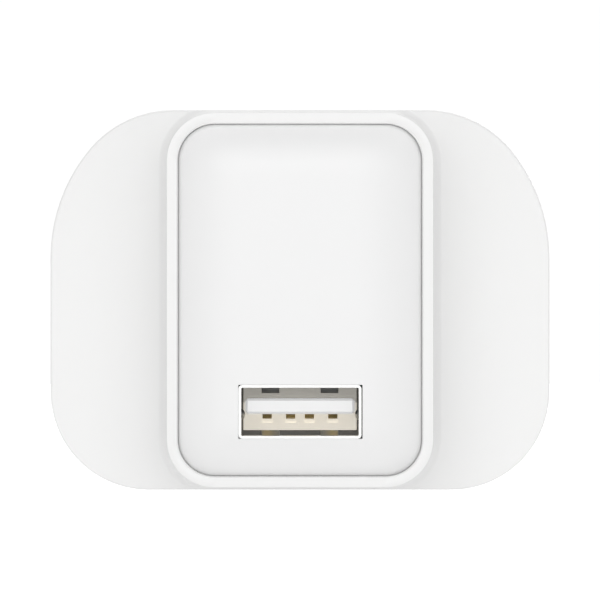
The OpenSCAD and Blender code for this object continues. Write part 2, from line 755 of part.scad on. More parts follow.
module upper_bulk_capacitor_can() bulk_can(0);
module lower_bulk_capacitor_can() bulk_can(1);
module upper_bulk_capacitor_sleeve() bulk_sleeve(0);
module lower_bulk_capacitor_sleeve() bulk_sleeve(1);
module left_output_capacitor_can() output_can(-1);
module right_output_capacitor_can() output_can(1);
module left_output_capacitor_sleeve() output_sleeve(-1);
module right_output_capacitor_sleeve() output_sleeve(1);

module capacitor_bungs() color("black") {
    for (i = [0, 1]) bulk_capacitor_place(i) capacitor_bung(bulk_cap_d);
    for (s = [-1, 1]) output_capacitor_place(s) capacitor_bung(out_cap_d);
}

module capacitor_leads() color("lightgray") {
    for (p = bulk_lead_spots) on_main_board(p)
        upright(-board_t - lead_poke, standoff + 0.1) circle(lead_r);
    for (p = out_lead_spots) on_usb_board(p)
        upright(-usb_board_t - lead_poke, standoff + 0.1) circle(lead_r);
}

// ---- Choke, fusible resistor and safety capacitor ----

choke_waist = 1.3;
choke_cheek = 1;

module choke_core() color("dimgray") on_main_board(choke_spot) translate([0, 0, standoff])
    rotate_extrude() polygon([[0, 0], [choke_r, 0], [choke_r, choke_cheek], [choke_waist, choke_cheek],
                              [choke_waist, choke_h - choke_cheek], [choke_r, choke_h - choke_cheek],
                              [choke_r, choke_h], [0, choke_h]]);

module choke_winding() color("chocolate") on_main_board(choke_spot) translate([0, 0, standoff])
    upright(choke_cheek, choke_h - choke_cheek) difference() {
        circle(choke_r - 0.3);
        circle(choke_waist);
    }

module choke_leads() color("lightgray") for (p = choke_lead_spots)
    on_main_board(p) upright(-board_t - lead_poke, standoff) circle(lead_r);

module fuse_resistor() color("darkgreen") on_main_board(fuse_spot) translate([0, 0, fuse_lift])
    rotate([0, 90, 0]) rotate_extrude() polygon([
        [0, -fuse_l / 2], [fuse_r - 0.3, -fuse_l / 2], [fuse_r, -fuse_l / 2 + 0.5],
        [fuse_r, -fuse_l / 2 + 1.8], [fuse_r - 0.25, -fuse_l / 2 + 2.3],
        [fuse_r - 0.25, fuse_l / 2 - 2.3], [fuse_r, fuse_l / 2 - 1.8],
        [fuse_r, fuse_l / 2 - 0.5], [fuse_r - 0.3, fuse_l / 2], [0, fuse_l / 2]]);

module fuse_resistor_leads() color("lightgray") for (s = [-1, 1])
    on_main_board(fuse_spot) {
        translate([s * fuse_pitch / 2, 0, 0])
            upright(-board_t - lead_poke, fuse_lift + lead_r) circle(lead_r);
        translate([s * (fuse_l / 2 + fuse_pitch / 2) / 2, 0, fuse_lift]) rotate([0, 90, 0])
            cylinder(r = lead_r, h = (fuse_pitch - fuse_l) / 2, center = true);
    }

safety_lift = 7;

module safety_capacitor() color("royalblue") on_main_board(safety_spot)
    translate([0, 0, safety_lift + safety_r]) rotate([90, 0, 0]) rotate_extrude() polygon([
        [0, -safety_t / 2], [safety_r - 1, -safety_t / 2], [safety_r, -safety_t / 2 + 1],
        [safety_r, safety_t / 2 - 1], [safety_r - 1, safety_t / 2], [0, safety_t / 2]]);

module safety_capacitor_leads() color("lightgray") difference() {
    for (p = safety_lead_spots) on_main_board(p)
        upright(-board_t - lead_poke, safety_lift + safety_r) circle(lead_r);
    on_main_board(safety_spot) translate([0, 0, safety_lift + safety_r]) rotate([90, 0, 0])
        cylinder(r = safety_r, h = safety_t, center = true);
}

// ---- Surface-mounted parts ----

// A moulded body with bent legs along both long sides, standing on z = 0.
module chip(w, l, h, legs, pitch) {
    leg_t = 0.2;
    foot = 0.7;
    translate([0, 0, h / 2 + 0.05]) cube([w, l, h], center = true);
    for (s = [-1, 1], i = [0 : legs - 1])
        translate([(i - (legs - 1) / 2) * pitch, 0, 0]) mirror([0, s > 0 ? 0 : 1, 0])
            across(0.4) polygon([[l / 2 - bite, h / 2], [l / 2 + 0.45, h / 2], [l / 2 + 0.45, leg_t],
                                 [l / 2 + 0.45 + foot, leg_t], [l / 2 + 0.45 + foot, 0], [l / 2 + 0.25, 0],
                                 [l / 2 + 0.25, h / 2 - leg_t], [l / 2 - bite, h / 2 - leg_t]]);
}

module bridge_rectifier() color("black")
    behind_main_board([-board_w / 2 + 3.8, -1.5]) chip(4.7, 3.8, 2.3, 2, 2.5);

module optocoupler() color("white")
    on_main_board([cavity_w / 2 - 3, (sheet_z + usb_board_top) / 2]) chip(4.4, 5.4, 2.3, 2, 2.54);

module control_chip() color("black")
    behind_main_board([bulk_x, (bulk_z[0] + bulk_z[1]) / 2]) chip(4.9, 3.9, 1.4, 4, 1.27);

module power_transistor() color("black") behind_main_board([board_w / 2 - 3.8, 2.6]) {
    translate([0, 0, 1.2]) cube([6.6, 6.1, 2.2], center = true);
    translate([0, 4, 0.25]) cube([5.4, 2.2, 0.5], center = true);
    for (s = [-1, 1]) translate([s * 2.3, -4, 0.25]) cube([0.8, 2.6, 0.5], center = true);
}

module output_diode() color("black") on_usb_board(diode_spot) {
    translate([0, 0, 1.2]) cube([diode_w, 4.4, 2.2], center = true);
    for (s = [-1, 1]) translate([0, s * 2.4, 0.25]) cube([2, 1, 0.5], center = true);
}

// Two columns of small chip resistors behind the main board, above the USB board's tabs.
module chip_resistors() color("black") {
    size = [2, 1.25, 0.5];
    for (i = [0 : 3], s = [-1, 1])
        behind_main_board([s * 1.4, usb_board_top + 1 + i * 2.2])
            translate([0, 0, size[2] / 2]) cube(size, center = true);
}

// Solder: a filled hole and a small cone round each lead, tail and leg.
module solder_cone(hole_r, lead, depth, rise) {
    rotate_extrude() polygon([[lead, -depth], [hole_r, -depth], [hole_r, 0], [hole_r + 0.4, 0],
                              [lead + 0.12, rise], [lead, rise]]);
}

module solder_joints() color("silver") {
    for (p = main_lead_spots) behind_main_board(p) solder_cone(lead_hole_r, lead_r, board_t / 2, 0.6);
    for (p = out_lead_spots) translate([p[0], p[1], usb_board_top - usb_board_t])
        mirror([0, 0, 1]) solder_cone(lead_hole_r, lead_r, usb_board_t / 2, 0.6);
    difference() {
        for (x = contact_spots) translate([x, mouth_y + tail_y, usb_board_top - usb_board_t])
            mirror([0, 0, 1]) cylinder(r1 = lead_hole_r + 0.35, r2 = lead_hole_r, h = 0.5);
        in_port() tail_bodies(0);
    }
}

front_housing();
front_panel();
base_plate();
pin_retainer();
live_pin();
neutral_pin();
live_pin_sleeve();
neutral_pin_sleeve();
earth_pin();
live_contact_strip();
neutral_contact_strip();
main_board();
usb_board();
insulation_sheet();
usb_shell();
usb_insulator();
contact_tails();
vbus_contact();
data_minus_contact();
data_plus_contact();
ground_contact();
top_left_grip_spring();
top_right_grip_spring();
bottom_left_grip_spring();
bottom_right_grip_spring();
transformer_core_front();
transformer_core_rear();
transformer_bobbin();
transformer_winding();
transformer_tape();
transformer_pins();
upper_bulk_capacitor_can();
upper_bulk_capacitor_sleeve();
lower_bulk_capacitor_can();
lower_bulk_capacitor_sleeve();
left_output_capacitor_can();
left_output_capacitor_sleeve();
right_output_capacitor_can();
right_output_capacitor_sleeve();
capacitor_bungs();
capacitor_leads();
choke_core();
choke_winding();
choke_leads();
fuse_resistor();
fuse_resistor_leads();
safety_capacitor();
safety_capacitor_leads();
bridge_rectifier();
optocoupler();
control_chip();
power_transistor();
output_diode();
chip_resistors();
solder_joints();
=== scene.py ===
"""USB wall charger: its moulded case, mains pins and USB port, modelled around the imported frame."""
from math import cos, degrees, pi, radians, sin, sqrt

import bmesh
import bpy
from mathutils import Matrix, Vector


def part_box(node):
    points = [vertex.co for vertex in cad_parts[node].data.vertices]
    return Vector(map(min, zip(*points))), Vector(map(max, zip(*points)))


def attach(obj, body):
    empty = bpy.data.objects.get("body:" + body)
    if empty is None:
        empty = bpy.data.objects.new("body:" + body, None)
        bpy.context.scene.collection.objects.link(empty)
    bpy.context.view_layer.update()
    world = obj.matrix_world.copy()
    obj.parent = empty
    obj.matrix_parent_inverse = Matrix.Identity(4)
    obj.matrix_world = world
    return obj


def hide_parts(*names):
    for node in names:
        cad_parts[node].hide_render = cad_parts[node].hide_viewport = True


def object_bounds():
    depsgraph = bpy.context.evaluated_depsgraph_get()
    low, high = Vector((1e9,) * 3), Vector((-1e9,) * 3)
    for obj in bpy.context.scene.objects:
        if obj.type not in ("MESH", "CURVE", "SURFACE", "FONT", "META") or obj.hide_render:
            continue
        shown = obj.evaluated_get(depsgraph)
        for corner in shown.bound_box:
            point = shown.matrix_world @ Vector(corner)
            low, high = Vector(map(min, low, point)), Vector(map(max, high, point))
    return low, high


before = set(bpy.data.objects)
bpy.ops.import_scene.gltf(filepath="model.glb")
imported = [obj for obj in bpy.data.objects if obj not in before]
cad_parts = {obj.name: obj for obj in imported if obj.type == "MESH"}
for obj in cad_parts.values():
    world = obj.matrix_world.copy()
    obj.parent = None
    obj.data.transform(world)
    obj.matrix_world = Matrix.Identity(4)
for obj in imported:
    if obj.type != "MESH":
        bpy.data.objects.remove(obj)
cad_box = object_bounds()

bl_info = {
    "name": "USB Wall Charger",
    "version": (1, 0, 0),
    "blender": (4, 5, 0),
    "location": "View3D > Sidebar > Charger",
    "description": "Builds a USB wall charger with three flat pins around its packed frame",
    "category": "Object",
}

# Pieces are modelled in millimetres and brought to metres when they are finished.
MM = 0.001
TINY = 1e-4
SMOOTH_ANGLE = 32.0
SPIN_WAY = -1  # the direction in which a spin follows the sweep
CONTACTS = ("vbus_contact", "data_minus_contact", "data_plus_contact", "ground_contact")
GRIPS = ("top_left_grip_spring", "top_right_grip_spring",
         "bottom_left_grip_spring", "bottom_right_grip_spring")

# Case, in millimetres
POCKET_DEPTH = 2.0
SEAT_RISE = 1.3         # how far the ledge behind the panel's gap stands above the pocket's floor
HIDDEN_DEPTH = 0.4      # how far hidden ends reach into the piece they are welded to
HOOK_GAP, HOOK_THICK, HOOK_LENGTH, HOOK_OVERLAP = 0.08, 1.0, 4.0, 0.3
PANEL_RINGS = (0.25, 0.35, 0.45, 0.5, 0.5, 0.5, 0.6)
LIP_PLAY, LIP_THICK, LIP_TALL, LIP_PASSAGE = 0.08, 1.0, 2.0, 6.0
POST_RADIUS, POST_INSET = 1.5, 2.2
POST_BELOW_CLAMP, POST_BELOW_TOP = 1.9, 4.4
RIVET_RADIUS, RIVET_HEAD_RADIUS, RIVET_HEAD, RIVET_GRIP = 1.0, 1.6, 0.6, 0.3
PIN_RIVET_X, EARTH_RIVET_X, EARTH_RIVET_DROP = 4.6, 5.4, 3.0
PIN_PLAY = 0.08

# Earth pin, in millimetres: its head is wider and taller than its bar by twice the flange
EARTH_FLANGE = (1.0, 0.5)
EARTH_HOLLOW = (0.785, 2.46)
EARTH_SOLID_TIP = 5.0

# Port, in millimetres
LEG_PLACES = (3.4, 10.6)
LEG_HALF_WIDTH, LEG_OVERLAP = 0.7, 0.6
DIMPLE_BACK, DIMPLE_DROP, DIMPLE_SUNK = 5.2, 0.3, 0.12
DIMPLE_SIZE = (0.52, 2.3, 0.62)
TONGUE_WIDTH, TONGUE_ABOVE, TONGUE_BELOW = 11.66, 1.44, 0.24
TONGUE_GAP, TONGUE_THICK = 1.04, 1.8  # the standard's, from which the contacts' slots are placed
WALL_DEPTH = 11.9
SLOT_FRONT, SLOT_DEPTH = 0.5, 0.9

# Stage, in metres and watts: each lamp's name, place, power and size
LAMPS = (("front_lamp", (-0.1, -2.8, 0.0), 11, 1.3), ("front_softbox", (0, -2.9, 0.1), 21, 2.4),
         ("top_softbox", (0, 0.2, 2.0), 10, 1.6), ("back_softbox", (0.6, 2.4, 0.7), 12, 1.4))
ROOM_LIGHT, ROOM_SEEN = 0.54, 1.02
FLOOR_DROP, FLOOR_SIZE = 0.0055, 8.0
FLOOR_GLOW = (0.25, 0.8)  # in the room, and as the camera sees it
LENS, SENSOR, FIELD = 1200.0, 36.0, 0.06383


def box(node):
    """Lowest and highest corner of a node of the frame, in millimetres."""
    low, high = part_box(node)
    return low / MM, high / MM


def middle(node):
    low, high = box(node)
    return (low + high) / 2


# ---- Sizes that a user may change ----

def length(name, description, millimetres):
    return bpy.props.FloatProperty(name=name, description=description, default=millimetres * MM,
                                   min=0.0, unit="LENGTH", subtype="DISTANCE", precision=5)


class ChargerCase(bpy.types.PropertyGroup):
    block_radius: length("Block corner radius", "Corner radius of the upright block", 5.1)
    fillet: length("Root fillet", "Hollow fillet between the wings and the block", 1.1)
    edge: length("Edge radius", "Rounding of the case's outer edges", 0.22)
    wall: length("Wall", "Thickness of the housing's walls", 2.0)
    rim: length("Rim width", "Width of the rim round the front panel", 1.12)
    rim_edge: length("Rim edges", "Rounding of the rim's two edges", 0.1)
    panel_gap: length("Panel gap", "Gap all round the front panel", 0.1)
    panel_edge: length("Panel edge radius", "Rounding of the front panel's outline", 0.4)
    side_roll: length("Side roll", "Radius to which the panel's left and right edges roll back", 26.0)
    side_width: length("Side roll width", "Width of the panel's rolled left and right edges", 7.6)
    end_roll: length("End roll", "Radius to which the panel's top and bottom edges roll back", 16.0)
    end_width: length("End roll width", "Width of the panel's rolled top and bottom edges", 5.0)


class ChargerBase(bpy.types.PropertyGroup):
    top_radius: length("Upper corner radius", "Radius of the upper corners at the top edge", 11.8)
    side_radius: length("Upper side radius", "Radius of the upper corners at the sides", 18.3)
    arc_angle: bpy.props.FloatProperty(
        name="Arc angle", description="Angle at which the two upper arcs meet",
        default=radians(38.8), unit="ROTATION", subtype="ANGLE")
    bottom_radius: length("Lower corner radius", "Radius of the base's lower corners", 10.5)
    shadow_line: length("Shadow line", "Width and depth of the line between plate and housing", 0.3)
    plate_edge: length("Plate edge radius", "Rounding of the plate's edge at the wall", 0.5)


class ChargerPins(bpy.types.PropertyGroup):
    sleeve_wall: length("Sleeve wall", "Wall of the insulating sleeves", 0.7)
    tip: length("Tip chamfer", "Length of the chamfer on the pins' tips", 1.0)
    edge: length("Pin edge radius", "Rounding of the pins' long edges", 0.18)


class ChargerPort(bpy.types.PropertyGroup):
    sheet: length("Sheet metal", "Thickness of the port's metal shell", 0.3)
    shell_radius: length("Shell corner radius", "Outer corner radius of the metal shell", 0.42)
    play: length("Opening play", "Clearance of the panel's opening round the shell", 0.01)
    side_play: length("Side play", "Extra clearance at the right of the shell", 0.09)
    tongue_edge: length("Tongue chamfer", "Chamfer round the tongue's tip", 0.26)
    contact: length("Contact strip", "Thickness of the contact strips", 0.25)
    grip: length("Grip spring", "Thickness of the grip springs", 0.2)


GROUPS = {"charger_case": ChargerCase, "charger_base": ChargerBase,
          "charger_pins": ChargerPins, "charger_port": ChargerPort}


class Sizes:
    """A property group's lengths, read in millimetres."""

    def __init__(self, group):
        for key in group.bl_rna.properties.keys():
            value = getattr(group, key)
            if isinstance(value, float):
                is_angle = group.bl_rna.properties[key].subtype == "ANGLE"
                setattr(self, key, degrees(value) if is_angle else value / MM)


# ---- Modelling by operators ----

def object_mode():
    if bpy.context.mode != "OBJECT":
        bpy.ops.object.mode_set(mode="OBJECT")


def only(obj):
    """Leaves one object selected and active."""
    object_mode()
    bpy.ops.object.select_all(action="DESELECT")
    obj.select_set(True)
    bpy.context.view_layer.objects.active = obj


def add(name, primitive, **how):
    object_mode()
    bpy.ops.object.select_all(action="DESELECT")
    primitive(**how)
    obj = bpy.context.object
    obj.name = obj.data.name = name
    return obj


def edit(obj, kind="VERT"):
    if bpy.context.mode != "EDIT_MESH" or bpy.context.edit_object != obj:
        only(obj)
        bpy.ops.object.mode_set(mode="EDIT")
    bpy.ops.mesh.select_mode(type=kind)


def pick(obj, kind, test):
    """Selects the vertices, edges or faces that pass the test, in edit mode."""
    edit(obj, kind)
    bpy.ops.mesh.select_all(action="DESELECT")
    mesh = bmesh.from_edit_mesh(obj.data)
    mesh.normal_update()
    found = [p for p in {"VERT": mesh.verts, "EDGE": mesh.edges, "FACE": mesh.faces}[kind] if test(p)]
    if not found:
        raise RuntimeError(f"nothing on {obj.name} passes the test")
    for p in found:
        p.select_set(True)
    mesh.select_flush_mode()
    bmesh.update_edit_mesh(obj.data)


def on_plane(axis, place):
    """A test for vertices, edges and faces that lie in one plane."""
    def test(part):
        corners = [part] if isinstance(part, bmesh.types.BMVert) else part.verts
        return all(abs(v.co[axis] - place) < TINY for v in corners)
    return test


def move(x=0.0, y=0.0, z=0.0):
    bpy.ops.transform.translate(value=(x, y, z))


def extrude(x=0.0, y=0.0, z=0.0):
    bpy.ops.mesh.extrude_region_move(TRANSFORM_OT_translate={"value": (x, y, z)})


def grow(x=1.0, y=1.0, z=1.0):
    """Scales what is selected about its own middle."""
    bpy.ops.transform.resize(value=(x, y, z))


def bevel(radius, segments=3, affect="EDGES"):
    bpy.ops.mesh.bevel(offset=radius, segments=segments, affect=affect, clamp_overlap=True)


def close_up(merge=1e-5):
    """Merges doubles and turns every face outwards."""
    bpy.ops.mesh.select_all(action="SELECT")
    bpy.ops.mesh.remove_doubles(threshold=merge)
    bpy.ops.mesh.normals_make_consistent(inside=False)


def modify(obj, kind, **settings):
    """Adds a modifier and applies it."""
    only(obj)
    bpy.ops.object.modifier_add(type=kind)
    modifier = obj.modifiers[-1]
    for key, value in settings.items():
        setattr(modifier, key, value)
    bpy.ops.object.modifier_apply(modifier=modifier.name)


def combine(obj, tool, operation):
    modify(obj, "BOOLEAN", object=tool, operation=operation, solver="EXACT")
    only(tool)
    bpy.ops.object.delete()
    return obj


def cut(obj, tool):
    return combine(obj, tool, "DIFFERENCE")


def weld(obj, tool):
    return combine(obj, tool, "UNION")


def arc(x, y, radius, start, end, step=4.0):
    """Points on an arc about (x, y), from one angle to another in degrees."""
    count = max(2, round(abs(end - start) / step))
    angles = [radians(start + (end - start) * i / count) for i in range(count + 1)]
    return [(x + radius * cos(a), y + radius * sin(a)) for a in angles]


def draw(name, points):
    """Draws an open line: one vertex, extruded from point to point."""
    obj = add(name, bpy.ops.mesh.primitive_plane_add, size=1)
    edit(obj)
    bpy.ops.mesh.select_all(action="SELECT")
    bpy.ops.mesh.merge(type="CENTER")
    bpy.ops.transform.translate(value=points[0])
    for here, there in zip(points, points[1:]):
        step = Vector(there) - Vector(here)
        bpy.ops.mesh.extrude_vertices_move(TRANSFORM_OT_translate={"value": step})
    return obj


def prism(name, outline, y0, y1):
    """A closed outline drawn in X and Z, filled and extruded from y0 to y1."""
    obj = draw(name, [(x, y0, z) for x, z in outline])
    bpy.ops.mesh.select_all(action="SELECT")
    bpy.ops.mesh.edge_face_add()
    extrude(y=y1 - y0)
    close_up()
    return obj


def slab(name, low, high):
    """A box from its lowest to its highest corner."""
    low, high = Vector(low), Vector(high)
    obj = add(name, bpy.ops.mesh.primitive_cube_add, size=1, location=(low + high) / 2)
    obj.scale = high - low
    bpy.ops.object.transform_apply(location=True, rotation=False, scale=True)
    return obj


def rod(name, x, z, radius, y0, y1, sides=40):
    """A round bar along Y."""
    obj = add(name, bpy.ops.mesh.primitive_cylinder_add, vertices=sides, radius=radius, depth=y1 - y0,
              location=(x, (y0 + y1) / 2, z), rotation=(pi / 2, 0, 0))
    bpy.ops.object.transform_apply(location=True, rotation=True, scale=False)
    return obj


def rounded(width, height, radius, x=0.0, z=0.0, step=4.0):
    """Outline of a rounded rectangle about (x, z)."""
    right, top = width / 2 - radius, height / 2 - radius
    return (arc(x + right, z + top, radius, 90, 0, step) + arc(x + right, z - top, radius, 0, -90, step)
            + arc(x - right, z - top, radius, -90, -180, step)
            + arc(x - right, z + top, radius, 180, 90, step))


def sweep_round(width, height, radius, steps=20):
    """Carries the drawn section, which stands above the top right corner's centre, round a rounded rectangle:
    a spin at each corner and an extrusion along each side."""
    right, top = width / 2 - radius, height / 2 - radius
    bpy.ops.mesh.select_all(action="SELECT")
    legs = [(right, top, 0, -2 * top), (right, -top, -2 * right, 0),
            (-right, -top, 0, 2 * top), (-right, top, 2 * right, 0)]
    for x, z, run_x, run_z in legs:
        bpy.ops.mesh.spin(steps=steps, angle=SPIN_WAY * pi / 2, center=(x, 0, z), axis=(0, 1, 0))
        extrude(x=run_x, z=run_z)
    close_up(1e-3)


def strip(name, line, x, width, thick, bend=0.25, edge=0.03):
    """A bent strip of sheet metal: a line in Y and Z with rounded bends, drawn out across X."""
    obj = draw(name, [(x - width / 2, y, z) for y, z in line])
    pick(obj, "VERT", lambda v: len(v.link_edges) == 2)
    bevel(bend, 5, "VERTICES")
    edit(obj)
    bpy.ops.mesh.select_all(action="SELECT")
    bpy.ops.mesh.remove_doubles(threshold=0.02)
    extrude(x=width)
    close_up()
    modify(obj, "SOLIDIFY", thickness=thick, offset=0.0, use_even_offset=True)
    edit(obj)
    close_up()
    object_mode()
    modify(obj, "BEVEL", width=edge, segments=2, limit_method="ANGLE", angle_limit=radians(50))
    return obj


def hand_over(obj, body, nodes, slot, *more_finishes):
    """Brings a modelled piece to metres, smooths it, gives it its slot's material and its body."""
    only(obj)
    obj.scale = (MM, MM, MM)
    bpy.ops.object.transform_apply(location=True, rotation=True, scale=True)
    bpy.ops.object.shade_smooth_by_angle(angle=radians(SMOOTH_ANGLE))
    modify(obj, "WEIGHTED_NORMAL", mode="FACE_AREA", keep_sharp=True, weight=80)
    obj.data.materials.clear()
    for made in (bpy.data.materials[slot], *more_finishes):
        obj.data.materials.append(made)
    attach(obj, body)
    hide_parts(*nodes)
    return obj


# ---- Finishes that the frame does not have ----

def finish(name, base, shade, rough, size=1.5, bump=0.0, **shader):
    """A procedural material. A noise on object coordinates, its size in millimetres, shades the base colour
    and the roughness. A finer noise gives the bump, whose height is in millimetres."""
    made = bpy.data.materials.new(name)
    made.use_nodes = True
    tree = made.node_tree
    principled = tree.nodes["Principled BSDF"]
    for socket, value in shader.items():
        principled.inputs[socket.replace("_", " ")].default_value = value
    place = tree.nodes.new("ShaderNodeTexCoord")
    scale = tree.nodes.new("ShaderNodeMapping")
    scale.inputs["Scale"].default_value = [1 / MM] * 3
    tree.links.new(place.outputs["Object"], scale.inputs["Vector"])

    main = tree.nodes.new("ShaderNodeTexNoise")
    main.inputs["Scale"].default_value = 1 / size
    tree.links.new(scale.outputs["Vector"], main.inputs["Vector"])
    factor = main.outputs[0]

    ramp = tree.nodes.new("ShaderNodeValToRGB")
    low, high = ramp.color_ramp.elements
    low.position, high.position = 0.3, 0.7
    low.color = (*[c * shade for c in base], 1)
    high.color = (*base, 1)
    tree.links.new(factor, ramp.inputs["Fac"])
    tree.links.new(ramp.outputs["Color"], principled.inputs["Base Color"])

    gloss = tree.nodes.new("ShaderNodeMapRange")
    gloss.inputs["To Min"].default_value, gloss.inputs["To Max"].default_value = rough
    tree.links.new(factor, gloss.inputs["Value"])
    tree.links.new(gloss.outputs["Result"], principled.inputs["Roughness"])

    if bump:
        fine = tree.nodes.new("ShaderNodeTexNoise")
        fine.inputs["Scale"].default_value = 8.0
        fine.inputs["Detail"].default_value = 3
        height = tree.nodes.new("ShaderNodeBump")
        height.inputs["Strength"].default_value = 1.0
        height.inputs["Distance"].default_value = bump * MM
        tree.links.new(scale.outputs["Vector"], fine.inputs["Vector"])
        tree.links.new(fine.outputs[0], height.inputs["Height"])
        tree.links.new(height.outputs["Normal"], principled.inputs["Normal"])
    return made


def painted_glow_plastic(name, base, glow):
    """The plastic behind the tongue, cream-tinted and given an emission: a painted glow that stands in for
    the light coming in through the mouth.
    """
    return finish(name, base, shade=0.97, rough=(0.35, 0.45), bump=0.002,
                  Emission_Color=(*base, 1), Emission_Strength=glow)


# ---- Case ----

def base_outline(case, base, inset=0.0):
    """The base seen from the front: two arcs at each upper corner, one at each lower corner."""
    half_w, half_h = case.base_w / 2 - inset, case.base_h / 2 - inset
    top, side, low = base.top_radius - inset, base.side_radius - inset, base.bottom_radius - inset
    angle = base.arc_angle
    side_x, side_z = half_w - side, half_h - top - (side - top) * sin(radians(angle))
    top_x = side_x + (side - top) * cos(radians(angle))
    right = (arc(top_x, half_h - top, top, 90, angle) + arc(side_x, side_z, side, angle, 0)[1:]
             + arc(half_w - low, -half_h + low, low, 0, -90))
    return right + [(-x, z) for x, z in reversed(right)]


def case_numbers():
    """Sizes that the case's pieces share: the frame's boxes and the user's sizes."""
    case = Sizes(bpy.context.scene.charger_case)
    low, high = box("front_housing")
    panel_low, panel_high = box("front_panel")
    border = 2 * (case.rim + case.panel_gap)
    case.front, case.seam = low.y, high.y
    case.base_w, case.base_h = high.x - low.x, high.z - low.z
    case.panel_w, case.panel_h = panel_high.x - panel_low.x, panel_high.z - panel_low.z
    case.block_w, case.block_h = case.panel_w + border, case.panel_h + border
    case.shoulder = box("main_board")[0].y
    case.wing = case.shoulder - case.wall
    case.panel_front = panel_low.y
    case.pocket = case.front + POCKET_DEPTH
    return case


def block_section(case):
    """Section of the block's wall: inner wall, pocket's ledge, rim, outer wall and hollow fillet.
    The first number runs outwards from the outer wall and the second towards the wall socket."""
    sunk = 0.008
    edge = case.rim_edge
    root = case.wing - case.fillet + sunk
    hidden = case.shoulder - HIDDEN_DEPTH
    seat, seat_top = -case.rim - case.panel_gap + 0.01, case.pocket - SEAT_RISE
    return ([(-case.wall, hidden), (-case.wall, case.pocket), (seat, case.pocket), (seat, seat_top)]
            + arc(-case.rim + edge, case.front + edge, edge, 180, 270, 30)
            + arc(-edge, case.front + edge, edge, 270, 360, 18)
            + arc(case.fillet, root, case.fillet, 180, 90, 9)
            + [(case.fillet, hidden), (-case.wall, hidden)])


class CHARGER_OT_housing(bpy.types.Operator):
    """Moulds the block with its rim, the wings and the fillet between them in one hollow piece"""
    bl_idname = "charger.housing"
    bl_label = "Housing"

    def execute(self, context):
        case, base = case_numbers(), Sizes(context.scene.charger_base)
        start_x, top = case.block_w / 2 - case.block_radius, case.block_h / 2
        block = draw("housing", [(start_x, y, top + out) for out, y in block_section(case)])
        sweep_round(case.block_w, case.block_h, case.block_radius)
        reach = prism("reach", base_outline(case, base, inset=0.01), case.front - 5, 0)
        combine(block, reach, "INTERSECT")

        wings = prism("wings", base_outline(case, base), case.wing, case.seam)
        pick(wings, "EDGE", on_plane(1, case.wing))
        bevel(case.edge, 4)
        cut(wings, prism("inside", base_outline(case, base, case.wall),
                         case.shoulder, case.seam + 1))
        overlap = 0.2
        inner = case.wall - overlap
        hole = rounded(case.block_w - 2 * inner, case.block_h - 2 * inner, case.block_radius - inner)
        cut(wings, prism("hole", hole, case.wing - 1, case.shoulder + 1))
        weld(block, wings)
        hand_over(block, "charger", ["front_housing"], "shell_white")
        return {"FINISHED"}


def roll_back(distance, radius, width, half):
    """How far the panel's face has rolled back at a distance from its middle."""
    over = max(0.0, distance - (half - width))
    return radius - sqrt(radius * radius - over * over)


